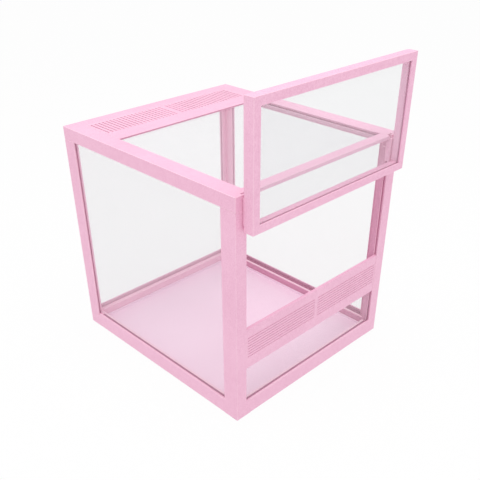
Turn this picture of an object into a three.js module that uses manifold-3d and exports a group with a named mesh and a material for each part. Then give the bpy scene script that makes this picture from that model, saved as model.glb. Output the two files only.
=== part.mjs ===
// Framed clear display box with a lift-up front sash.
// Millimetres. +X right, -Y front, +Z up. The origin is under the middle of the whole part,
// lifted sash included, at the level of the underside.
import * as THREE from 'three';
import { mergeVertices } from 'three/addons/utils/BufferGeometryUtils.js';
import Module from 'manifold-3d';

const wasm = await Module();
wasm.setup();

// ---- overall sizes ----
const width = 286;
const depth = 316;
const height = 300;

// ---- corner posts (angle section) ----
const postFaceWidth = 16.3;      // front face of a front post
const postSideMore = 0.5;         // a post's side face is this much wider than the ring's corner
const postFrontDepth = 12.7;     // how deep a front post's front leg is
const postBackWidth = 14.5;      // back face of a back post
const postBackSide = 19.5;       // side face of a back post
const legThickness = 6.4;        // thickness of the other legs

// ---- base rails ----
const baseHeight = 22.5;
const baseThickness = 12;
const innerLipDrop = 4;          // the inner lip ends this far below the outer lip
const toeReach = 5;              // ledge under the floor tray
const toeThickness = 2;

// ---- top ring ----
const ringHeight = 17;
const ringWall = 1.9;            // plastic between a guide shoe's passage and the front rail
const ringBackWidth = 19.5;
const ringThickness = 7.7;
const plateThickness = 4.5;      // front top rail and top vent plate
const frontRailDepth = 14;

// ---- clear panels and their grooves ----
const panelThickness = 2;
const panelRecess = 2.5;         // from a frame's outer face to the panel
const grooveSide = 0.2;          // room on each side of a panel
const grooveEnd = 0.3;           // room past a panel's edge
const panelBite = 4.7;           // how far a panel's edge goes into its groove

// ---- front vent plate ----
const sillHeight = 73.8;         // top of the lower front window
const ventPlateHeight = 56.4;
const ventPlateThickness = 4.2;
const ventSetBack = 0.4;
const ventRows = 8;
const rowPitch = 3.82;
const rowHeight = 1.1;
const rowEndMargin = 2.5;
const groupGap = 5.4;

// ---- top vent plate ----
const topVentDepth = 71;
const topSlotLength = 41.5;
const topSlotEdge = 2.2;         // solid strip behind the slots
const topSlotsPerGroup = 20;
const topSlotShare = 0.3;       // slot width as a share of the pitch

// ---- floor tray ----
const trayGap = 0.3;
const trayFloor = 3;
const trayRimHeight = 4;
const trayRimThickness = 2;

// ---- sash ----
const sashInset = 9;           // sash side to box side
const sashHeight = 141;
const sashDepth = 11.5;
const sashBarWidth = 9.6;
const sashPanelRecess = 1.8;
const sashBite = 4;
const stripThickness = 2.5;
const stripWidth = 7.2;
const stripInset = 0.3;
const standOff = 2.6;              // sash back to the posts' front faces
const sashHang = 40.5;             // stored pose: the sash's lower edge below the box's top

// ---- guide shoes ----
const shoeHeight = 30;
const shoeRise = 7;
const shoeWeb = 3;
const shoeHook = 1.6;
const slideGap = 0.4;
const shoePad = standOff - slideGap;

// ---- derived levels ----
const shoeInner = postFaceWidth + slideGap + shoeWeb;
const ringWidth = shoeInner + slideGap + ringWall;
const postSideWidth = ringWidth + postSideMore;
const lipTop = baseHeight - innerLipDrop;
const grooveFloor = lipTop - innerLipDrop;
const ringBottom = height - ringHeight;
const panelBottom = grooveFloor + grooveEnd;
const panelTop = ringBottom + panelBite;
const ventTop = sillHeight + ventPlateHeight;
const sashBottom = height - sashHang;
const sashTop = sashBottom + sashHeight;
const sashBack = -standOff;
const sashMid = sashBack - stripThickness;
const sashFront = sashMid - sashDepth;
const topPanelTop = height - panelRecess;
const topPanelBottom = topPanelTop - panelThickness;
const topVentFront = depth - ringBackWidth - topVentDepth;
const middleV = (depth + sashFront) / 2;

// A block is [[u0, u1], [v0, v1], [z0, z1]]: u from the left face, v from the front face.
const block = (u, v, z) => [u, v, z];
const flip = ([u, v, z]) => [[width - u[1], width - u[0]], v, z];
const fromBack = ([u, v, z]) => [u, [depth - v[1], depth - v[0]], z];
const grow = ([u, v, z], du, dv, dz) => [
  [u[0] - du, u[1] + du],
  [v[0] - dv, v[1] + dv],
  [z[0] - dz, z[1] + dz],
];

function boxGeometry([u, v, z]) {
  const g = new THREE.BoxGeometry(u[1] - u[0], v[1] - v[0], z[1] - z[0]);
  g.translate((u[0] + u[1] - width) / 2, (v[0] + v[1]) / 2 - middleV, (z[0] + z[1]) / 2);
  return g;
}

function toSolid(geometry) {
  geometry.deleteAttribute('uv');
  geometry.deleteAttribute('normal');
  const g = mergeVertices(geometry, 1e-4);
  return new wasm.Manifold(new wasm.Mesh({
    numProp: 3,
    vertProperties: new Float32Array(g.attributes.position.array),
    triVerts: new Uint32Array(g.index.array),
  }));
}

function toGeometry(solid) {
  const m = solid.getMesh();
  const indexed = new THREE.BufferGeometry();
  indexed.setAttribute('position', new THREE.BufferAttribute(new Float32Array(m.vertProperties), 3));
  indexed.setIndex(new THREE.BufferAttribute(new Uint32Array(m.triVerts), 1));
  const g = indexed.toNonIndexed();
  g.computeVertexNormals();
  return g;
}

// Joins the first list of blocks and takes the second list away.
function carve(add, cut = []) {
  let solid = toSolid(boxGeometry(add[0]));
  for (const b of add.slice(1)) solid = solid.add(toSolid(boxGeometry(b)));
  for (const b of cut) solid = solid.subtract(toSolid(boxGeometry(b)));
  return toGeometry(solid);
}

// ---- materials ----
const pink = new THREE.MeshStandardMaterial({ color: 0xf0bfd4, roughness: 0.62, metalness: 0 });
pink.name = 'pink_plastic';
const floorPink = new THREE.MeshStandardMaterial({ color: 0xf3cfe2, roughness: 0.5, metalness: 0 });
floorPink.name = 'floor_plastic';
const clear = new THREE.MeshStandardMaterial({ color: 0xeef2f4, roughness: 0.08, metalness: 0 });
clear.name = 'clear_acrylic';

const root = new THREE.Group();
root.name = 'display_box';
function put(name, geometry, material = pink) {
  const mesh = new THREE.Mesh(geometry, material);
  mesh.name = name;
  root.add(mesh);
}

// ---- clear panels ----
const outer = panelRecess;
const inner = panelRecess + panelThickness;
const sideStart = postSideWidth - panelBite + 0.2;
const sideEnd = depth - (postBackSide - panelBite + 0.2);
const sideLeft = block([outer, inner], [sideStart, sideEnd], [panelBottom, panelTop]);
const sideRight = flip(sideLeft);
const backStart = postBackWidth - panelBite;
const backPane = fromBack(block([backStart, width - backStart], [outer, inner], [panelBottom, panelTop]));
const frontStart = postFaceWidth - panelBite + 0.1;
const frontEnds = [frontStart, width - frontStart];
const frontPane = block(frontEnds, [outer, inner], [panelBottom, sillHeight + panelBite]);
const lidStart = ringWidth - panelBite;
const lidFront = frontRailDepth - panelBite;
const lidPane = block(
  [lidStart, width - lidStart],
  [lidFront, topVentFront + panelBite],
  [topPanelBottom, topPanelTop],
);
const grooves = {
  left: grow(sideLeft, grooveSide, grooveEnd, grooveEnd),
  right: grow(sideRight, grooveSide, grooveEnd, grooveEnd),
  back: grow(backPane, grooveEnd, grooveSide, grooveEnd),
  front: grow(frontPane, grooveEnd, grooveSide, grooveEnd),
  lid: grow(lidPane, grooveEnd, grooveEnd, grooveSide),
};
put('side_panel_left', carve([sideLeft]), clear);
put('side_panel_right', carve([sideRight]), clear);
put('back_panel', carve([backPane]), clear);
put('front_lower_panel', carve([frontPane]), clear);
put('top_panel', carve([lidPane]), clear);

// ---- plates with tongues ----
const tongueOut = panelBite - 0.2;
const ventBody = block(
  [postFaceWidth + 0.2, width - postFaceWidth - 0.2],
  [ventSetBack, ventSetBack + ventPlateThickness],
  [sillHeight, ventTop],
);
const ventTongue = block(frontEnds, [outer, inner], [sillHeight + panelBite + 1, ventTop]);
function ventSlots() {
  const cuts = [];
  const mid = width / 2;
  const start = postFaceWidth + rowEndMargin;
  const middle = (sillHeight + ventTop) / 2 + 1.4;
  for (let i = 0; i < ventRows; i += 1) {
    const z = middle + (i - (ventRows - 1) / 2) * rowPitch;
    const left = block([start, mid - groupGap / 2], [-1, 9], [z - rowHeight / 2, z + rowHeight / 2]);
    cuts.push(left, flip(left));
  }
  return cuts;
}
put('front_vent_plate', carve([ventBody, ventTongue], [grooves.front, ...ventSlots()]));

const topBack = depth - ringBackWidth;
const topBody = block(
  [ringWidth + 0.2, width - ringWidth - 0.2],
  [topVentFront, topBack - 0.2],
  [height - plateThickness, height],
);
const topTongue = block(
  [ringWidth - tongueOut, width - ringWidth + tongueOut],
  [topVentFront + panelBite + 1, topBack + tongueOut],
  [topPanelBottom, topPanelTop],
);
function topSlots() {
  const cuts = [];
  const start = ringWidth + rowEndMargin;
  const end = width / 2 - groupGap / 2;
  const pitch = (end - start) / topSlotsPerGroup;
  const rear = topBack - topSlotEdge;
  for (let i = 0; i < topSlotsPerGroup; i += 1) {
    const u = start + (i + 0.5) * pitch;
    const half = (pitch * topSlotShare) / 2;
    const left = block([u - half, u + half], [rear - topSlotLength, rear], [height - 20, height + 5]);
    cuts.push(left, flip(left));
  }
  return cuts;
}
put('top_vent_plate', carve([topBody, topTongue], [grooves.lid, ...topSlots()]));
const topTongueRoom = grow(topTongue, grooveEnd, grooveEnd, grooveSide);

// ---- corner posts ----
const hookFace = postFaceWidth - panelBite - grooveEnd + 0.1;
const hookDepth = [outer - 0.2, inner + 0.2];
const hookTrack = block([hookFace, postFaceWidth + 1], hookDepth, [baseHeight, height + 5]);
const lip = outer - grooveSide;

// The angle section of a post between two levels.
function frontSection(z) {
  return [
    block([0, postFaceWidth], [0, postFrontDepth], z),
    block([0, legThickness], [0, postSideWidth], z),
  ];
}
function backSection(z, faceWidth, sideWidth) {
  return [
    block([0, faceWidth], [0, legThickness], z),
    block([0, legThickness], [0, sideWidth], z),
  ];
}
function foot() {
  return [
    block([0, postSideWidth], [0, baseThickness], [0, lipTop]),
    block([0, baseThickness], [0, postSideWidth], [0, lipTop]),
    block([0, postSideWidth], [0, lip], [0, baseHeight]),
  ];
}
const frontPost = [...frontSection([lipTop, ringBottom]), ...foot()];
const backAngle = backSection([lipTop, ringBottom], postBackWidth, postBackSide);
const backPost = [...backAngle, ...foot()].map(fromBack);
put('post_front_left', carve(frontPost, [grooves.left, grooves.front, hookTrack]));
put('post_front_right', carve(frontPost.map(flip), [grooves.right, grooves.front, flip(hookTrack)]));
put('post_back_left', carve(backPost, [grooves.left, grooves.back]));
put('post_back_right', carve(backPost.map(flip), [grooves.right, grooves.back]));

// ---- base rails ----
function railAlongX() {
  const u = [postSideWidth, width - postSideWidth];
  return [
    block(u, [0, baseThickness], [0, lipTop]),
    block(u, [0, lip], [0, baseHeight]),
    block(u, [0, baseThickness + toeReach], [0, toeThickness]),
  ];
}
function railAlongY() {
  const v = [postSideWidth, depth - postSideWidth];
  return [
    block([0, baseThickness], v, [0, lipTop]),
    block([0, lip], v, [0, baseHeight]),
    block([0, baseThickness + toeReach], v, [0, toeThickness]),
  ];
}
put('base_rail_front', carve(railAlongX(), [grooves.front]));
put('base_rail_back', carve(railAlongX().map(fromBack), [grooves.back]));
put('base_rail_left', carve(railAlongY(), [grooves.left]));
put('base_rail_right', carve(railAlongY().map(flip), [grooves.right]));

// ---- top ring: corner blocks and rails ----
const webSides = [postFaceWidth, shoeInner + slideGap];
const webPassage = block(webSides, [-1, inner + 0.2], [ringBottom - 1, height + 1]);
const ringSquare = block([0, ringWidth], [0, postSideWidth], [height - ringThickness, height]);
const frontCorner = [...frontSection([ringBottom, height]), ringSquare];
const ringAngle = backSection([ringBottom, height], ringWidth, postSideWidth);
const backCorner = [...ringAngle, ringSquare].map(fromBack);
const frontCuts = [hookTrack, webPassage];
put('ring_corner_front_left', carve(frontCorner, [grooves.left, grooves.lid, ...frontCuts]));
const rightCuts = [grooves.right, grooves.lid, ...frontCuts.map(flip)];
put('ring_corner_front_right', carve(frontCorner.map(flip), rightCuts));
put('ring_corner_back_left', carve(backCorner, [grooves.left, grooves.back, topTongueRoom]));
put('ring_corner_back_right', carve(backCorner.map(flip), [grooves.right, grooves.back, topTongueRoom]));

const ringSide = [
  block([0, ringWidth], [postSideWidth, depth - postSideWidth], [height - ringThickness, height]),
  block([0, legThickness], [postSideWidth, depth - postSideWidth], [ringBottom, height]),
];
const ringBack = [
  block([ringWidth, width - ringWidth], [0, ringBackWidth], [height - ringThickness, height]),
  block([ringWidth, width - ringWidth], [0, legThickness], [ringBottom, height]),
].map(fromBack);
const ringFront = [
  block([ringWidth, width - ringWidth], [0, frontRailDepth], [height - plateThickness, height]),
];
put('ring_rail_left', carve(ringSide, [grooves.left, grooves.lid, topTongueRoom]));
put('ring_rail_right', carve(ringSide.map(flip), [grooves.right, grooves.lid, topTongueRoom]));
put('ring_rail_back', carve(ringBack, [grooves.back, topTongueRoom]));
put('ring_rail_front', carve(ringFront, [grooves.lid]));

// ---- floor tray ----
const trayEdge = baseThickness + trayGap;
const trayBox = (inset, z) => block([inset, width - inset], [inset, depth - inset], z);
const trayTop = toeThickness + trayFloor;
put('floor_tray', carve(
  [trayBox(trayEdge, [toeThickness, trayTop + trayRimHeight])],
  [trayBox(trayEdge + trayRimThickness, [trayTop, trayTop + trayRimHeight + 5])],
), floorPink);

// ---- sash ----
const sashIn = sashInset + sashBarWidth;
const sashPane = block(
  [sashIn - sashBite, width - sashIn + sashBite],
  [sashFront + sashPanelRecess, sashFront + sashPanelRecess + panelThickness],
  [sashBottom + sashBarWidth - sashBite, sashTop - sashBarWidth + sashBite],
);
const sashGroove = grow(sashPane, grooveEnd, grooveSide, grooveEnd);
const stile = block([sashInset, sashIn], [sashFront, sashMid], [sashBottom, sashTop]);
const sashRail = (z) => block([sashIn, width - sashIn], [sashFront, sashMid], z);
put('sash_stile_left', carve([stile], [sashGroove]));
put('sash_stile_right', carve([flip(stile)], [sashGroove]));
put('sash_rail_bottom', carve([sashRail([sashBottom, sashBottom + sashBarWidth])], [sashGroove]));
put('sash_rail_top', carve([sashRail([sashTop - sashBarWidth, sashTop])], [sashGroove]));
put('sash_panel', carve([sashPane]), clear);

const stripOut = sashInset + stripInset;
const stripIn = stripOut + stripWidth;
const stripLow = sashBottom + stripInset;
const stripHigh = sashTop - stripInset;
const stripSide = block([stripOut, stripIn], [sashMid, sashBack], [stripLow, stripHigh]);
const stripFlat = (z) => block([stripIn, width - stripIn], [sashMid, sashBack], z);
put('sash_strip_left', carve([stripSide]));
put('sash_strip_right', carve([flip(stripSide)]));
put('sash_strip_bottom', carve([stripFlat([stripLow, stripLow + stripWidth])]));
put('sash_strip_top', carve([stripFlat([stripHigh - stripWidth, stripHigh])]));

// ---- guide shoes: a pad on the strip, a web beside the post, a hook in its groove ----
const shoeZ = [sashBottom + shoeRise, sashBottom + shoeRise + shoeHeight];
const hookMid = (outer + inner) / 2;
const shoeStart = postFaceWidth + slideGap;
const shoe = [
  block([stripOut + 1, shoeInner], [sashBack, sashBack + shoePad], shoeZ),
  block([shoeStart, shoeInner], [sashBack, hookMid + shoeHook / 2], shoeZ),
  block([hookFace + slideGap, shoeInner], [hookMid - shoeHook / 2, hookMid + shoeHook / 2], shoeZ),
];
put('guide_shoe_left', carve(shoe));
put('guide_shoe_right', carve(shoe.map(flip)));

export default root;
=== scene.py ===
# %% [markdown]
# # A clear display box with a lift-up sash
#
# The real object is a small keeping box: a pink plastic frame holds clear acrylic sheets, two slotted
# plates let air through, a tray makes the floor, and a framed clear sash slides up and down in front.
# Everything here stands around the engineering model, which is loaded first and gives every position.

# %% Load the engineering model
import math

import bmesh
import bpy
import numpy as np
from mathutils import Matrix, Vector


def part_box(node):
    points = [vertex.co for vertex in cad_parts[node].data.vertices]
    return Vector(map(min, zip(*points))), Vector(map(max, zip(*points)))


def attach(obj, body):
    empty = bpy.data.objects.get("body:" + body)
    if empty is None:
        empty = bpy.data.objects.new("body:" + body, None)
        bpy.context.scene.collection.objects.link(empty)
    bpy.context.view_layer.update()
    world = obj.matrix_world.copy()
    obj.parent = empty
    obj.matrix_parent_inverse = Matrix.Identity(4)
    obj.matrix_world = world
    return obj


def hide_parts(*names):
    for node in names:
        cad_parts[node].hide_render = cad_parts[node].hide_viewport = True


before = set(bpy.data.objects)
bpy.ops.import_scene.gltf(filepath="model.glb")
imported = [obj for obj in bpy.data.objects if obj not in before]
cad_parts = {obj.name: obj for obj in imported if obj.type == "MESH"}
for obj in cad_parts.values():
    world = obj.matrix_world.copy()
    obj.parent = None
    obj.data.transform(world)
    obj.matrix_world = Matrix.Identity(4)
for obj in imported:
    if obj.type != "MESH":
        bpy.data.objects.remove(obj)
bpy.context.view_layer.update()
print("engineering model:", len(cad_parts), "pieces")

# %% [markdown]
# ## Measuring from two faces
#
# A maker of such a box measures from its left face and its front face, so the same is done here. The two
# faces come from the engineering model's posts. `u` runs to the right, `v` to the back and `z` up, all in
# millimetres, and one function at the end turns them into metres in the model's own frame.

# %% The box's outer faces
low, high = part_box("post_front_left")[0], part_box("ring_corner_back_right")[1]
WIDTH, DEPTH, HEIGHT = ((high[i] - low[i]) * 1000 for i in range(3))


def place(points):
    """Millimetres from the left face, front face and floor, as metres in the model's frame."""
    return np.asarray(points, float) / 1000 + np.array([low.x, low.y, 0.0])


def node_block(name):
    """The box of an engineering piece as [[u0, u1], [v0, v1], [z0, z1]] in millimetres."""
    a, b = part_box(name)
    return [[(a[i] - (low.x, low.y, 0)[i]) * 1000, (b[i] - (low.x, low.y, 0)[i]) * 1000] for i in range(3)]


print(f"box {WIDTH:.1f} x {DEPTH:.1f} x {HEIGHT:.1f} mm")

# %% [markdown]
# ## Light, floor and camera
#
# A product like this is shown on white, under light that comes from everywhere, so the sky is an even
# white and one large soft lamp overhead makes the upper faces a little brighter than the upright ones.
# The camera looks down at the near corner, with both neighbouring sides seen equally.

# %% Even studio light
scene = bpy.context.scene
scene.view_settings.view_transform = "Standard"
scene.view_settings.look = "None"
scene.view_settings.exposure = 0.0
scene.view_settings.gamma = 1.0

SKY = 0.84
world = bpy.data.worlds.new("studio_sky")
world.use_nodes = True
world.node_tree.nodes["Background"].inputs["Color"].default_value = (1, 1, 1, 1)
world.node_tree.nodes["Background"].inputs["Strength"].default_value = SKY
scene.world = world

lamp_data = bpy.data.lights.new("overhead_softbox", "AREA")
lamp_data.shape, lamp_data.size, lamp_data.size_y = "RECTANGLE", 1.4, 1.4
lamp_data.energy = 15.0
lamp = bpy.data.objects.new("overhead_softbox", lamp_data)
lamp.location = (-0.25, -0.25, 1.9)
scene.collection.objects.link(lamp)
lamp.visible_camera = False
scene.cycles.transparent_max_bounces = 32    # a look through the box crosses many sheet faces
print("sky", SKY, "softbox", lamp_data.energy, "W")

# %% Camera
def aim(position, forward, roll):
    """A camera matrix: its axes are the right, up and backward directions, turned by the roll."""
    f = Vector(forward).normalized()
    right = f.cross(Vector((0, 0, 1))).normalized()
    up = right.cross(f)
    r = right * math.cos(roll) + up * math.sin(roll)
    t = up * math.cos(roll) - right * math.sin(roll)
    m = Matrix((r, t, -f)).transposed().to_4x4()
    m.translation = Vector(position)
    return m


camera_data = bpy.data.cameras.new("camera")
camera_data.sensor_width = 36.0
camera_data.lens = 49.582
camera_data.shift_x, camera_data.shift_y = -0.0162, 0.1557
camera = bpy.data.objects.new("camera", camera_data)
camera.matrix_world = aim((-0.5670, -0.5907, 0.5706), (0.58788, 0.58634, -0.55732), 0.0017)
scene.collection.objects.link(camera)
scene.camera = camera
print("camera at", tuple(round(c, 3) for c in camera.location))

# %% [markdown]
# ## Writing a finish as sums
#
# A finish is a small sum: a base tone plus a little of one pattern plus a little of another. Wiring those
# sums by hand hides them, so a `Wire` stands for one value in the node tree and understands +, -, * and **.

# %% A wire that can be added and multiplied
class Wire:
    """One output socket in a material's node tree."""

    def __init__(self, tree, socket):
        self.tree, self.socket = tree, socket

    def node(self, kind, settings=None, **sockets):
        """Adds a node of a type, sets it, then fills its inputs with values or wires."""
        made = self.tree.nodes.new(kind)
        for key, value in (settings or {}).items():
            setattr(made, key, value)
        for key, value in sockets.items():
            socket = made.inputs[int(key[1:])] if key[0] == "_" else made.inputs[key.replace("_", " ")]
            if isinstance(value, Wire):
                self.tree.links.new(value.socket, socket)
            else:
                socket.default_value = value
        return made

    def out(self, kind, output=0, settings=None, **sockets):
        """The same, but gives the new node's output back as a wire."""
        return Wire(self.tree, self.node(kind, settings, **sockets).outputs[output])

    def math(self, how, a, b=0.0):
        """A Math node with one or two inputs."""
        return self.out("ShaderNodeMath", 0, {"operation": how}, _0=a, _1=b)

    def __add__(self, other):
        return self.math("ADD", self, other)

    def __sub__(self, other):
        return self.math("SUBTRACT", self, other)

    def __rsub__(self, other):
        return self.math("SUBTRACT", other, self)

    def __mul__(self, other):
        return self.math("MULTIPLY", self, other)

    def __pow__(self, other):
        return self.math("POWER", self, other)

    __radd__, __rmul__ = __add__, __mul__

    def noise(self, scale, detail, roughness):
        """Noise over the positions in this wire; a bigger scale makes a finer pattern."""
        return self.out("ShaderNodeTexNoise", 0, None, Vector=self, Scale=scale, Detail=detail,
                        Roughness=roughness)

    def blend(self, first, second):
        """A colour between two colours, this wire saying how far."""
        return self.out("ShaderNodeMix", 2, {"data_type": "RGBA"}, _0=self, _6=first, _7=second)


def new_finish(name):
    """An empty material, its shader and the position on the piece as a wire."""
    finish = bpy.data.materials.new(name)
    finish.use_nodes = True
    tree = finish.node_tree
    shader = tree.nodes["Principled BSDF"]
    where = Wire(tree, tree.nodes.new("ShaderNodeTexCoord").outputs["Object"])
    return finish, shader, where


def connect(shader, **wires):
    """Links each wire to the shader socket of that name."""
    for key, wire in wires.items():
        wire.tree.links.new(wire.socket, shader.inputs[key.replace("_", " ")])


def tone(r, g, b):
    """A display colour from 0 to 255 as the linear colour a shader takes."""
    c = np.array([r, g, b]) / 255
    lin = np.where(c <= 0.04045, c / 12.92, ((c + 0.055) / 1.055) ** 2.4)
    return (*lin.tolist(), 1.0)


# %% [markdown]
# ## The pink plastic
#
# The frame is moulded in an opaque soft pink with a fine matt grain. Three things keep it from looking
# like paint: the colour drifts slowly where the melt flowed, the gloss varies with it, and a grain about
# a millimetre across breaks up the reflections. All three are noise in the piece's own coordinates.

# %% Moulded pink plastic
GRAIN_SCALE = 700.0                          # grains of about 1.4 mm


def moulded(name, deep, pale, gloss, grain_height):
    """Colour = deep to pale by slow drift, cloud and fine grain; roughness = gloss plus drift and grain."""
    finish, shader, where = new_finish(name)
    drift = where.noise(14.0, 2.0, 0.5)
    cloud = where.noise(120.0, 3.0, 0.6)
    grain = where.noise(GRAIN_SCALE, 3.0, 0.65)
    mix = drift * 0.6 + cloud * 0.6 + grain * 2.4 - 1.3
    soft = mix.out("ShaderNodeClamp", 0, None, Value=mix)
    height = grain + cloud * 0.6
    bump = where.out("ShaderNodeBump", 0, None, Strength=0.5, Distance=grain_height, Height=height)
    connect(shader, Base_Color=soft.blend(deep, pale), Normal=bump,
            Roughness=gloss + drift * 0.1 + grain * 0.12)
    shader.inputs["IOR"].default_value = 1.47
    # Painted light: a faint pink glow on every piece in this finish lifts the shade in grooves and
    # recesses, standing in for light that passes through the thin plastic.
    shader.inputs["Emission Color"].default_value = tone(245, 172, 204)
    shader.inputs["Emission Strength"].default_value = 0.05
    return finish


MATT, SATIN = 0.00012, 0.00006               # height of the grain in metres
pink = moulded("pink_plastic_moulded", tone(227, 170, 197), tone(243, 194, 217), 0.42, MATT)
# Painted highlight: a paler pink for rounded edges, and for the back pieces' inner faces, painted as if
# lit.
pink_painted_highlight = moulded("pink_plastic_painted_highlight", tone(238, 194, 213), tone(244, 203, 220), 0.3, SATIN)
# Painted shade: a deeper pink for the upright walls that look into the box.
pink_painted_shade = moulded("pink_plastic_painted_shade", tone(203, 142, 169), tone(217, 160, 185), 0.5, MATT)
tray_pink = moulded("pink_tray_satin", tone(241, 215, 231), tone(247, 224, 239), 0.34, SATIN)
print("finishes:", pink.name, tray_pink.name)

# %% [markdown]
# The ledge inside each base rail has painted light along its inner edge and painted shade on the strip
# beside the sheet, the shade the outer lip would cast. Its finish works out how far a point lies behind the
# nearest outer face.

# %% The ledge beside the sheets
def ledge_finish(name, shade, pale, turn_from, turn_to):
    """depth = the smaller of half the width - |x - middle| and half the depth - |y - middle|; the colour
    goes from painted shade to pale painted light between two depths in millimetres."""
    finish, shader, where = new_finish(name)
    middle = place((WIDTH / 2, DEPTH / 2, 0))
    x, y = (where.out("ShaderNodeSeparateXYZ", i, None, Vector=where) for i in (0, 1))
    across = WIDTH / 2000 - where.math("ABSOLUTE", x - float(middle[0]))
    along = DEPTH / 2000 - where.math("ABSOLUTE", y - float(middle[1]))
    depth = where.math("MINIMUM", across, along)
    part = where.out("ShaderNodeMapRange", 0, None, Value=depth, _1=turn_from / 1000, _2=turn_to / 1000)
    grain = where.noise(GRAIN_SCALE, 3.0, 0.65)
    connect(shader, Base_Color=part.blend(shade, pale), Roughness=0.35 + grain * 0.15)
    return finish


# Painted shading on the ledge: dark within 8 mm of the outer faces, pale beyond 9 mm.
pink_ledge_painted_shading = ledge_finish("pink_plastic_ledge_painted_shading", tone(178, 113, 142), tone(250, 214, 228), 8.0, 9.0)

# %% [markdown]
# ## The clear acrylic
#
# A clean sheet is nearly invisible face on and turns into a mirror when seen along its surface. The
# sheet here takes a small share of the light away everywhere, a bigger share at grazing angles, and has
# faint wipe marks, so two sheets one behind the other read slightly greyer than one.

# %% Clear acrylic sheet
def sheet_finish(name, share):
    """Opacity = share + a part of (1 - cos of the viewing angle)^5 + fine dust + a painted shade that grows
    towards the bottom of the sheet.
    """
    finish, shader, where = new_finish(name)
    stretched = where.out("ShaderNodeMapping", 0, None, Vector=where, Scale=(1.0, 1.0, 0.35))
    wipe = stretched.noise(26.0, 4.0, 0.6)
    dust = where.noise(420.0, 2.0, 0.5)
    rim = where.out("ShaderNodeLayerWeight", 1, None, Blend=0.5) ** 5
    height = where.out("ShaderNodeSeparateXYZ", 2, None, Vector=where)
    # Painted shade: the sheet gets more opaque the lower it is, over its lowest 0.25 m.
    painted_shade_low = where.out("ShaderNodeMapRange", 0, None, Value=height, _1=0.0, _2=0.25, _3=0.008, _4=0.0)
    alpha = share + rim * 0.15 + dust * 0.012 + painted_shade_low
    connect(shader, Alpha=alpha, Roughness=0.22 + wipe * 0.1,
            Base_Color=wipe.blend(tone(210, 211, 215), tone(220, 221, 225)))
    shader.inputs["IOR"].default_value = 1.49
    shader.inputs["Specular IOR Level"].default_value = 0.2
    return finish


clear = sheet_finish("clear_acrylic_sheet", 0.07)
clear_sash = sheet_finish("clear_acrylic_sash_sheet", 0.12)
print("finishes:", clear.name, "and", clear_sash.name)

# %% [markdown]
# ## From arrays to pieces
#
# Each shape below ends as an array of points and arrays of faces. One function turns them into a mesh,
# makes sure the faces look outwards, and hides the engineering piece it stands for. The sign of the
# enclosed volume tells which way the faces look, so no shape has to get that right on its own.

# %% Making a piece
def enclosed(points, faces):
    """Signed volume: the sum, over triangle fans of every face, of the corner triple product over six."""
    total = 0.0
    for group in faces:
        group = np.asarray(group)
        a, b, c = points[group[:, :1]], points[group[:, 1:-1]], points[group[:, 2:]]
        total += np.einsum("ijk,ijk->", np.broadcast_to(a, b.shape), np.cross(b, c)) / 6
    return total


# The inner lip of a base rail ends a little below the outer lip.
LIP_DROP = 4.0
base_top = node_block("base_rail_front")[2][1]
inner_top = base_top - LIP_DROP
# The finishes in these places paint a highlight on edges, shade on inner walls and shading on the ledge.
HIGHLIGHT_KIND, SHADE_KIND, LEDGE_KIND = 1, 2, 3  # places in a pink piece's list of materials


def face_kinds(mesh, has_inside, painted_lit_inside):
    """Which material each face takes: the painted highlight on a slanted face, the painted shade on an
    upright face that looks into the box (its normal times its offset from the box's middle is negative),
    the ledge's painted shading on the base rails' inner ledge, else the first. The back pieces take the
    painted highlight for the last two, so their inner faces are painted lit."""
    normals, centres = np.empty(3 * len(mesh.polygons)), np.empty(3 * len(mesh.polygons))
    mesh.polygons.foreach_get("normal", normals)
    mesh.polygons.foreach_get("center", centres)
    normals, centres = normals.reshape(-1, 3), centres.reshape(-1, 3)
    slanted = np.abs(normals).max(1) < 0.98
    offset = (centres - place((WIDTH / 2, DEPTH / 2, 0)))[:, :2]
    inward = ((normals[:, :2] * offset).sum(1) < -0.02) & has_inside
    ledge = (normals[:, 2] > 0.98) & (np.abs(centres[:, 2] - inner_top / 1000) < 0.0005)
    # The back pieces' inner walls and ledge are painted lit instead of shaded.
    wall_kind, ledge_kind = (HIGHLIGHT_KIND, HIGHLIGHT_KIND) if painted_lit_inside else (SHADE_KIND, LEDGE_KIND)
    flat = np.where(ledge, ledge_kind, np.where(inward, wall_kind, 0))
    return np.where(slanted, HIGHLIGHT_KIND, flat).astype(np.int32)


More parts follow.
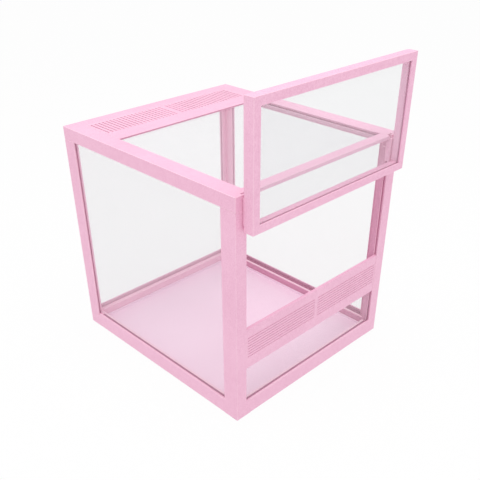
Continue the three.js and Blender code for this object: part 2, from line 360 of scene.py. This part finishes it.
def make(name, shell, finish, body, stands_for, rounding=0.0, flush=()):
    """One Blender piece from shells of (points in mm, groups of equal-sided faces). Rounding is the
    radius on sharp edges, except on the flush planes (axis, mm), where a neighbour carries on level."""
    verts, polys, start = [], [], 0
    for points, faces in shell:
        points = place(points)
        way = 1 if enclosed(points, faces) > 0 else -1
        for group in faces:
            polys += (np.asarray(group)[:, ::way] + start).tolist()
        verts.append(points)
        start += len(points)
    mesh = bpy.data.meshes.new(name)
    mesh.from_pydata(np.concatenate(verts), [], polys)
    if rounding:
        mesh.shade_smooth()
        flat = bmesh.new()
        flat.from_mesh(mesh)
        bmesh.ops.remove_doubles(flat, verts=flat.verts, dist=1e-6)
        bmesh.ops.dissolve_limit(flat, angle_limit=0.01, verts=flat.verts, edges=flat.edges)
        weight = flat.edges.layers.float.new("bevel_weight_edge")
        planes = [(axis, place(np.eye(3)[axis] * mm)[axis]) for axis, mm in flush]
        for edge in flat.edges:
            level = any(abs(v[0].co[axis] - at) + abs(v[1].co[axis] - at) < 2e-6
                        for v in [edge.verts] for axis, at in planes)
            bent = edge.calc_face_angle(0.0) > 0.7
            edge[weight] = float(bent and not level)
            edge.smooth = not (bent and level)
        flat.to_mesh(mesh)
        flat.free()
    mesh.materials.append(finish)
    # Pink pieces also carry the painted highlight, painted shade and painted ledge shading finishes.
    if finish is pink:
        for other in (pink_painted_highlight, pink_painted_shade, pink_ledge_painted_shading):
            mesh.materials.append(other)
        mesh.polygons.foreach_set("material_index", face_kinds(mesh, body == "box", "back" in name))
    if not rounding:
        mesh.shade_smooth()
        mesh.set_sharp_from_angle(angle=0.9)
    piece = bpy.data.objects.new(name, mesh)
    scene.collection.objects.link(piece)
    if rounding:
        bevel = piece.modifiers.new("rounded_edges", "BEVEL")
        bevel.width, bevel.segments, bevel.limit_method = rounding / 1000, 3, "WEIGHT"
        # The bevel's faces take the painted highlight, a lighter pink along every rounded edge.
        bevel.material = HIGHLIGHT_KIND
        bevel.miter_outer = "MITER_ARC"
    weighted = piece.modifiers.new("flat_faces_stay_flat", "WEIGHTED_NORMAL")
    weighted.keep_sharp = True
    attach(piece, body)
    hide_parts(stands_for)
    print(f"{name}: {len(mesh.vertices)} points")


def make_pink(name, shell, body, stands_for, rounding=0.0, flush=()):
    """A piece of the pink plastic."""
    make(name, shell, pink, body, stands_for, rounding, flush)


# %% [markdown]
# ## Carrying a profile along a line
#
# Rails, bars and strips are extrusions: one cross-section carried along a straight line. The section's
# corners are small arcs, and towards each end the section shrinks along a quarter circle, so the ends
# are rounded too. That is how a moulded bar leaves its tool, and it makes the fine light lines on edges,
# which a painted highlight on the arcs' slanted faces makes lighter still.

# %% Rounded sections carried along an axis
def edge_ways(p):
    """Unit directions of the edges that arrive at and leave each corner: the difference from the corner
    before, or to the corner after, over its length."""
    a, b = p - np.roll(p, 1, 0), np.roll(p, -1, 0) - p
    return a / np.linalg.norm(a, axis=1, keepdims=True), b / np.linalg.norm(b, axis=1, keepdims=True)


def rounded(corners, radius, steps=3):
    """Each right-angled corner p becomes an arc about p - r*a + r*b, where a and b are the directions
    of the edges that arrive at and leave the corner."""
    p = np.asarray(corners, float)
    a, b = edge_ways(p)
    r = np.broadcast_to(np.asarray(radius, float), len(p))[:, None]
    centre = p - r * a + r * b
    turn = np.linspace(0, math.pi / 2, steps + 1)[None, :, None]
    arc = centre[:, None] - (r * b)[:, None] * np.cos(turn) + (r * a)[:, None] * np.sin(turn)
    return arc.reshape(-1, 2)


def shrunk(corners, radius, inset):
    """The section moved inwards: a corner moves against both edges' outward normals, an outer corner's
    arc gets tighter and an inner corner's wider by the same amount."""
    p = np.asarray(corners, float)
    a, b = edge_ways(p)
    outward = np.stack([a[:, 1] + b[:, 1], -a[:, 0] - b[:, 0]], 1)
    radius = np.broadcast_to(np.asarray(radius, float), len(p))
    bend = np.sign(a[:, 0] * b[:, 1] - a[:, 1] * b[:, 0])
    return rounded(p - inset * outward, np.maximum(radius - inset * bend, 1e-3))


def loop_faces(n_loops, n):
    """Four-sided faces between neighbouring loops of n points, and one face that closes each end."""
    loop, spot = np.meshgrid(np.arange(n_loops - 1), np.arange(n), indexing="ij")
    here, there = loop * n + spot, loop * n + (spot + 1) % n
    quads = np.stack([here, there, there + n, here + n], -1).reshape(-1, 4)
    return [quads, np.stack([np.arange(n)[::-1], (n_loops - 1) * n + np.arange(n)])]


def carry(corners, axis, start, stop, radius, square=False):
    """Rings of the section along an axis: near each end the inset is r*(1 - cos t) and the distance
    from the end is r*(1 - sin t), a quarter circle, unless the ends are square; both ends are closed."""
    c = np.asarray(corners, float)
    turning = np.sum(c[:, 0] * np.roll(c[:, 1], -1) - c[:, 1] * np.roll(c[:, 0], -1))
    radius = np.broadcast_to(np.asarray(radius, float), len(c))
    c, radius = (c, radius) if turning > 0 else (c[::-1], radius[::-1])
    t = np.zeros(1) if square else np.linspace(math.pi / 2, 0, 4)
    e = 0.0 if square else radius.min() * 0.95
    inset = np.concatenate([e * (1 - np.cos(t)), e * (1 - np.cos(t[::-1]))])
    along = np.concatenate([start + e * (1 - np.sin(t)), stop - e * (1 - np.sin(t[::-1]))])
    rings = np.stack([shrunk(c, radius, i) for i in inset])
    level = np.broadcast_to(along[:, None, None], (*rings.shape[:2], 1))
    parts = [rings[..., :1], rings[..., 1:]]
    parts.insert(axis, level)
    points = np.concatenate(parts, 2)
    return points.reshape(-1, 3), loop_faces(*points.shape[:2])


def rectangle(j, k):
    """The corners of a rectangle between two pairs of limits."""
    return [(j[0], k[0]), (j[1], k[0]), (j[1], k[1]), (j[0], k[1])]


# %% [markdown]
# ## Blocks joined and cut
#
# Posts, corner blocks and slotted plates change shape in all three directions. They are worked out like
# a joiner's cutting list: blocks are joined and others cut away. The faces of all the blocks make an
# uneven grid, each cell of it is plastic or air, and a face is needed wherever plastic meets air.

# %% The skin of joined and cut blocks
def carved(add, cut=()):
    """Grid lines at every block face; a cell is solid inside any added and outside every cut block;
    the skin is each cell wall where the solid array's difference along an axis isn't zero."""
    add, cut = np.round(np.array(add, float), 4), np.round(np.array(list(cut), float).reshape(-1, 3, 2), 4)
    every = np.concatenate([add, cut])
    lo, hi = add[:, :, 0].min(0), add[:, :, 1].max(0)
    lines = [np.unique(np.clip(every[:, i], lo[i], hi[i])) for i in range(3)]
    mids = [(line[1:] + line[:-1]) / 2 for line in lines]

    def inside(blocks):
        hit = [(mids[i] > blocks[:, i, :1]) & (mids[i] < blocks[:, i, 1:]) for i in range(3)]
        return (hit[0][:, :, None, None] & hit[1][:, None, :, None] & hit[2][:, None, None, :]).any(0)

    solid = inside(add) & ~inside(cut)
    shape = [len(line) for line in lines]
    stride = np.array([shape[1] * shape[2], shape[2], 1])
    quads = []
    for i in range(3):
        j, k = (i + 1) % 3, (i + 2) % 3
        pad = [(1, 1) if a == i else (0, 0) for a in range(3)]
        change = np.diff(np.pad(solid, pad).astype(int), axis=i)
        for sign in (1, -1):
            at = np.argwhere(change == sign) @ stride
            ring = np.stack([at, at + stride[k], at + stride[k] + stride[j], at + stride[j]], 1)
            quads.append(ring[:, ::sign])
    quads = np.concatenate(quads)
    used, quads = np.unique(quads, return_inverse=True)
    index = np.stack(np.unravel_index(used, shape), 1)
    points = np.stack([lines[i][index[:, i]] for i in range(3)], 1)
    return points, [quads.reshape(-1, 4)]


def block(u, v, z):
    """A block between limits from the left face, from the front face and from the floor."""
    return [u, v, z]


def other_side(blocks):
    """The same blocks on the right-hand side of the box."""
    return [[[WIDTH - u[1], WIDTH - u[0]], v, z] for u, v, z in blocks]


def at_back(blocks):
    """The same blocks measured from the back face."""
    return [[u, [DEPTH - v[1], DEPTH - v[0]], z] for u, v, z in blocks]


# %% [markdown]
# ## The clear sheets
#
# Five sheets of 2 mm acrylic sit 2.5 mm behind the frame's outer faces, with their edges hidden in
# grooves, and a sixth fills the sash. A sawn and polished sheet has a fine bevel all round, so each one
# is a thin section carried through its thickness. Their places are read from the engineering model.

# %% Sheets
def carried_block(name, axis, radius):
    """The node's block as a rectangle with small corner arcs, carried along an axis."""
    b = node_block(name)
    j, k = [i for i in range(3) if i != axis]
    return carry(rectangle(b[j], b[k]), axis, *b[axis], radius)


for panel, thin in (("side_panel_left", 0), ("side_panel_right", 0), ("back_panel", 1),
                    ("front_lower_panel", 1), ("top_panel", 2), ("sash_panel", 1)):
    finish, body = (clear_sash, "sash") if "sash" in panel else (clear, "box")
    make(panel.replace("panel", "sheet"), [carried_block(panel, thin, 0.25)], finish,
         body, panel)

# %% [markdown]
# ## Grooves for the sheets
#
# Every frame member has a groove that a sheet slides into, a little wider than the sheet. The groove is
# what makes the dark line beside each outer lip, so it is cut for real. It is the sheet's own block,
# grown by the clearance the engineering model leaves: 0.2 mm on each face and 0.3 mm at each edge.

# %% Groove blocks
FACE_GAP, EDGE_GAP = 0.2, 0.3
LAP = 5.7                                    # how far a slotted plate covers the sheet beside it


def groove_for(name, thin):
    """The sheet's block grown by the face gap across it and by the edge gap along it."""
    return [[a - (FACE_GAP if i == thin else EDGE_GAP), b + (FACE_GAP if i == thin else EDGE_GAP)]
            for i, (a, b) in enumerate(node_block(name))]


groove = {name: groove_for(panel, thin) for name, panel, thin in (
    ("left", "side_panel_left", 0), ("right", "side_panel_right", 0), ("back", "back_panel", 1),
    ("front", "front_lower_panel", 1), ("lid", "top_panel", 2), ("sash", "sash_panel", 1))}
LIP, GROOVE_BACK = groove["left"][0]
print(f"outer lip {LIP:.1f} mm thick, groove {GROOVE_BACK - LIP:.1f} mm wide")

# %% [markdown]
# ## Corner posts
#
# A post is an angle section standing on a foot block. The front posts are thicker towards the inside,
# because the sash's guide shoes run along them in a groove. Blocks joined and cut give the post, its
# foot and its grooves as one skin, and a small bevel rounds every edge the way the mould does.

# %% Posts
FACE = 16.3                                  # front face of a front post
BACK_FACE, BACK_SIDE = 14.5, 19.5            # back face and side face of a back post
DEEP, LEG, FOOT = 12.7, 6.4, 12.0            # front leg, other legs, foot block
TRACK_DEPTH = 4.9                            # how far the shoe's groove goes into a front post
PAST = 1                                     # a cut block runs on past the plastic
EDGE = 0.55                                  # radius of a moulded edge
SIDE = node_block("post_front_left")[1][1]
CORNER = node_block("ring_corner_front_left")[0][1]
ring_low = node_block("post_front_left")[2][1]
track = block([FACE - TRACK_DEPTH, FACE + PAST], [LIP, GROOVE_BACK], [base_top, HEIGHT + PAST])


def angle(face, thick, z, side=SIDE):
    """Two blocks that make an angle section between two levels."""
    return [block([0, face], [0, thick], z), block([0, LEG], [0, side], z)]


foot = [block([0, SIDE], [0, FOOT], [0, inner_top]), block([0, FOOT], [0, SIDE], [0, inner_top]),
        block([0, SIDE], [0, LIP], [0, base_top])]
front_post = angle(FACE, DEEP, [inner_top, ring_low]) + foot
back_post = at_back(angle(BACK_FACE, LEG, [inner_top, ring_low], BACK_SIDE) + foot)
beside = {"left": (0, SIDE), "right": (0, WIDTH - SIDE)}
ahead = {"front": (1, SIDE), "back": (1, DEPTH - SIDE)}
sides = (("left", lambda blocks: blocks), ("right", other_side))
for side, turn in sides:
    make_pink(f"front_post_{side}",
              [carved(turn(front_post), [groove[side], groove["front"], *turn([track])])],
              "box", f"post_front_{side}", EDGE, [beside[side], ahead["front"]])
    make_pink(f"back_post_{side}", [carved(turn(back_post), [groove[side], groove["back"]])],
              "box", f"post_back_{side}", EDGE, [beside[side], ahead["back"]])

# %% [markdown]
# ## The ring round the top
#
# Four corner blocks sit on the posts, with a fine seam under each, and rails join them. The front two
# blocks also have an open passage where the sash's guide shoes come up through the ring.

# %% Corner blocks of the ring
RING, PLATE = 7.7, 4.5                       # thickness of the ring and of the lid plate
RING_WALL = 1.9                              # plastic left beside the shoe's passage
LID_BITE = 4.8                               # how deep the lid's groove goes into the ring
passage = block([FACE, CORNER - RING_WALL], [-PAST, GROOVE_BACK], [ring_low - PAST, HEIGHT + PAST])
square = block([0, CORNER], [0, SIDE], [HEIGHT - RING, HEIGHT])
lid, back_rail = node_block("top_vent_plate"), node_block("ring_rail_back")
lid_front, rear = lid[1][0], back_rail[1][0]
tongue_room = block([CORNER - LID_BITE, WIDTH - CORNER + LID_BITE],
                    [lid_front + LAP - EDGE_GAP, rear + LID_BITE], groove["lid"][2])
front_corner = angle(FACE, DEEP, [ring_low, HEIGHT]) + [square]
back_corner = at_back(angle(CORNER, LEG, [ring_low, HEIGHT]) + [square])
inward = {"left": (0, CORNER), "right": (0, WIDTH - CORNER)}
for side, turn in sides:
    make_pink(f"ring_block_front_{side}",
              [carved(turn(front_corner), [groove[side], groove["lid"], *turn([track, passage])])],
              "box", f"ring_corner_front_{side}", EDGE, [inward[side], ahead["front"]])
    make_pink(f"ring_block_back_{side}",
              [carved(turn(back_corner), [groove[side], groove["back"], tongue_room])],
              "box", f"ring_corner_back_{side}", EDGE, [inward[side], ahead["back"]])

# %% [markdown]
# ## Rails
#
# The rails between the posts keep one section over their whole length: a lip outside, a groove, a lower
# lip inside, and at the bottom a thin toe that carries the tray. Each section is drawn once as corner
# points, from the outside inwards, and carried along its side of the box.

# %% Base rails
groove_floor = groove["left"][2][0]
TOE_REACH, TOE_TALL = 17.0, 2.0
base_section = np.array([
    (0, 0), (TOE_REACH, 0), (TOE_REACH, TOE_TALL), (FOOT, TOE_TALL), (FOOT, inner_top),
    (GROOVE_BACK, inner_top), (GROOVE_BACK, groove_floor), (LIP, groove_floor), (LIP, base_top),
    (0, base_top)])
BASE_RADII = [0.9, 0.4, 0.3, 0.5, 0.8, 0.8, 0.3, 0.3, 0.4, 0.8]


def facing(section, span):
    """The section seen from the opposite side: distance from the face becomes span minus distance."""
    turned = section.copy()
    turned[:, 0] = span - turned[:, 0]
    return turned


for side, section, axis in (("front", base_section, 0), ("back", facing(base_section, DEPTH), 0),
                            ("left", base_section, 1), ("right", facing(base_section, WIDTH), 1)):
    span = node_block(f"base_rail_{side}")[axis]
    make_pink(f"rail_base_{side}", [carry(section, axis, *span, BASE_RADII, square=True)], "box",
              f"base_rail_{side}")

# %% Rails of the ring
RING_RADIUS = 0.5
lid_low, lid_high = groove["lid"][2]
panel_top = groove["left"][2][1]


def ring_section(reach, groove_end):
    """The ring's section: a groove for the upright sheet below, and one for the lid in its inner edge."""
    return np.array([
        (0, ring_low), (LIP, ring_low), (LIP, panel_top), (GROOVE_BACK, panel_top),
        (GROOVE_BACK, ring_low), (LEG, ring_low), (LEG, HEIGHT - RING), (reach, HEIGHT - RING),
        (reach, lid_low), (groove_end, lid_low), (groove_end, lid_high), (reach, lid_high),
        (reach, HEIGHT), (0, HEIGHT)])


side_section = ring_section(node_block("ring_rail_left")[0][1], groove["lid"][0][0])
back_reach = back_rail[1][1] - back_rail[1][0]
back_section = ring_section(back_reach, back_reach - LID_BITE)
front_rail = node_block("ring_rail_front")
reach, under, groove_end = front_rail[1][1], front_rail[2][0], groove["lid"][1][0]
front_section = np.array([
    (0, under), (reach, under), (reach, lid_low), (groove_end, lid_low), (groove_end, lid_high),
    (reach, lid_high), (reach, HEIGHT), (0, HEIGHT)])
for side, section, axis in (("left", side_section, 1), ("right", facing(side_section, WIDTH), 1),
                            ("back", facing(back_section, DEPTH), 0), ("front", front_section, 0)):
    span = node_block(f"ring_rail_{side}")[axis]
    make_pink(f"rail_ring_{side}", [carry(section, axis, *span, RING_RADIUS, square=True)], "box",
              f"ring_rail_{side}")

# %% [markdown]
# ## Slotted plates
#
# Air comes in through two groups of eight level rows in the front plate and out through two groups of
# slots in the lid plate. Each slot is a block cut right through, and the bevel turns its ends and lips
# round. A tongue on each plate's edge sits in the frame's grooves.

# %% Front plate
SET_BACK, PLATE_BACK = 0.4, 4.6              # the plate's front and back, behind the posts' front
MARGIN, MIDDLE_BAR = 2.5, 5.4                # plain strips beside and between the slot groups
ROWS, ROW_PITCH, ROW_TALL, ROWS_UP = 8, 3.82, 0.9, 1.4
plate = node_block("front_vent_plate")
face = block([FACE + FACE_GAP, WIDTH - FACE - FACE_GAP], [SET_BACK, PLATE_BACK], plate[2])
tongue = block(plate[0], [groove["front"][1][0] + FACE_GAP, groove["front"][1][1] - FACE_GAP],
               [plate[2][0] + LAP, plate[2][1]])
levels = np.mean(plate[2]) + ROWS_UP + (np.arange(ROWS) - (ROWS - 1) / 2) * ROW_PITCH
row_cuts = [block([FACE + MARGIN, (WIDTH - MIDDLE_BAR) / 2], [SET_BACK - PAST, PLATE_BACK + PAST],
                  [z - ROW_TALL / 2, z + ROW_TALL / 2]) for z in levels]
make_pink("vent_front", [carved([face, tongue], [groove["front"], *row_cuts, *other_side(row_cuts)])],
          "box", "front_vent_plate", 0.25)

# %% Lid plate
SLOTS, SLOT_LONG, SLOT_EDGE = 20, 41.5, 2.2  # the edge is the plain strip behind the slots
SLOT_SHARE = 0.3                             # slot width as a share of the pitch
lid_face = block([CORNER + FACE_GAP, WIDTH - CORNER - FACE_GAP], [lid_front, rear - FACE_GAP],
                 [HEIGHT - PLATE, HEIGHT])
lid_tongue = block(lid[0], [lid_front + LAP, lid[1][1]], [lid_low + FACE_GAP, lid_high - FACE_GAP])
slot_pitch = ((WIDTH - MIDDLE_BAR) / 2 - CORNER - MARGIN) / SLOTS
slot_at = CORNER + MARGIN + (np.arange(SLOTS) + 0.5) * slot_pitch
half = slot_pitch * SLOT_SHARE / 2
slot_cuts = [block([u - half, u + half], [rear - SLOT_EDGE - SLOT_LONG, rear - SLOT_EDGE],
                   [HEIGHT - PLATE - PAST, HEIGHT + PAST]) for u in slot_at]
make_pink("vent_lid",
          [carved([lid_face, lid_tongue], [groove["lid"], *slot_cuts, *other_side(slot_cuts)])],
          "box", "top_vent_plate", 0.35)

# %% [markdown]
# ## The floor tray
#
# The tray drops in on the toes of the base rails. It is one moulding: a flat floor, a generous fillet,
# and a low rim. It is worked out as nested rounded rectangles, one loop after another from underneath,
# over the rim and down to the floor, which makes it a grid of loop number by place round the loop.

# %% Tray
def pan(outline, loops):
    """Loop i is the outline moved in by inset_i, its corners arcs of radius_i, at height z_i; the first
    and last loops are closed by one face each."""
    (u0, u1), (v0, v1) = outline
    rings = []
    for inset, z, radius in loops:
        ring = rounded(rectangle((u0 + inset, u1 - inset), (v0 + inset, v1 - inset)), radius, 6)
        rings.append(np.column_stack([ring, np.full(len(ring), z)]))
    return np.concatenate(rings), loop_faces(len(rings), len(rings[0]))


tray = node_block("floor_tray")
z0, z1 = tray[2]
FLOOR, RIM, FILLET, RIM_ROUND, UNDER = 3.0, 2.0, 1.6, 0.8, 0.6
angles = np.linspace(0, math.pi / 2, 5)
rim_z, cove_z = z1 - RIM_ROUND, z0 + FLOOR + FILLET
over = [(RIM_ROUND - RIM_ROUND * math.cos(t), rim_z + RIM_ROUND * math.sin(t), 2.0) for t in angles]
down = [(RIM - RIM_ROUND + RIM_ROUND * math.sin(t), rim_z + RIM_ROUND * math.cos(t), 1.4) for t in angles]
cove = [(RIM + FILLET - FILLET * math.cos(t), cove_z - FILLET * math.sin(t), 2.4) for t in angles]
loops = [(UNDER, z0, 1.5), (0.0, z0 + UNDER, 2.0), *over, *down, *cove, (14.0, z0 + FLOOR, 5.0)]
make("tray", [pan(tray[:2], loops)], tray_pink, "box", "floor_tray")

# %% [markdown]
# ## The sash
#
# The sash is a picture frame of four bars round its own sheet, held in a groove. A strip set in from the
# edge is fixed on the back of each bar, which makes the small step seen along the sash's side. The side
# bars run full height and the others fit between them, so each is again a section carried along a line.

# %% Sash bars
SASH_EDGE = 0.4
s0, s1 = groove["sash"][1]
for side in ("left", "right"):
    b = node_block(f"sash_stile_{side}")
    open_u = b[0][1] if side == "left" else b[0][0]
    make_pink(f"sash_side_{side}", [carved([b], [groove["sash"]])], "sash", f"sash_stile_{side}",
              SASH_EDGE, [(0, open_u)])
for level, near in (("bottom", 1), ("top", 0)):
    b = node_block(f"sash_rail_{level}")
    (v0, v1), open_z, far_z = b[1], b[2][near], b[2][1 - near]
    end_z = groove["sash"][2][1 - near]
    section = [(v0, far_z), (v0, open_z), (s0, open_z), (s0, end_z), (s1, end_z), (s1, open_z),
               (v1, open_z), (v1, far_z)]
    make_pink(f"sash_bar_{level}", [carry(section, 0, *b[0], SASH_EDGE, square=True)], "sash",
              f"sash_rail_{level}")

# %% Strips behind the bars
for part, axis in (("left", 2), ("right", 2), ("bottom", 0), ("top", 0)):
    make_pink(f"strip_{part}", [carried_block(f"sash_strip_{part}", axis, SASH_EDGE)], "sash",
              f"sash_strip_{part}")

# %% [markdown]
# ## Guide shoes
#
# Two shoes hold the sash to the posts. Each is a pad on the strip, a web that passes beside the post
# and a hook that runs in the post's groove. Seen from above it is one outline, so it is one section
# carried upwards.

# %% Shoes
WEB, PAD, HOOK, SLIDE_GAP = 3.0, 2.2, 1.6, 0.4
(u0, u1), (v0, v1), span = node_block("guide_shoe_left")
web_side, tip = u1 - WEB, FACE - TRACK_DEPTH + SLIDE_GAP
shoe_section = np.array([(u0, v0), (u1, v0), (u1, v1), (tip, v1), (tip, v1 - HOOK),
                         (web_side, v1 - HOOK), (web_side, v0 + PAD), (u0, v0 + PAD)])
for side, section in (("left", shoe_section), ("right", facing(shoe_section, WIDTH))):
    make_pink(f"shoe_{side}", [carry(section, 2, *span, 0.35)], "sash", f"guide_shoe_{side}")

# %% [markdown]
# ## The floor
#
# A wide white floor under the box, so bright that it joins the white sky behind it.

# %% White floor
floor_finish, floor_shader, _ = new_finish("studio_floor")
floor_shader.inputs["Base Color"].default_value = (0.05, 0.05, 0.05, 1)
floor_shader.inputs["Emission Color"].default_value = (1, 1, 1, 1)
floor_shader.inputs["Emission Strength"].default_value = 0.94
floor_shader.inputs["Roughness"].default_value = 0.9
floor_shader.inputs["Specular IOR Level"].default_value = 0.0
floor_mesh = bpy.data.meshes.new("studio_floor")
REACH = 6.0                                  # metres from the middle to each edge of the floor
floor_mesh.from_pydata([(x, y, 0) for x, y in rectangle((-REACH, REACH), (-REACH, REACH))], [],
                       [(0, 1, 2, 3)])
floor_mesh.materials.append(floor_finish)
floor = bpy.data.objects.new("studio_floor", floor_mesh)
scene.collection.objects.link(floor)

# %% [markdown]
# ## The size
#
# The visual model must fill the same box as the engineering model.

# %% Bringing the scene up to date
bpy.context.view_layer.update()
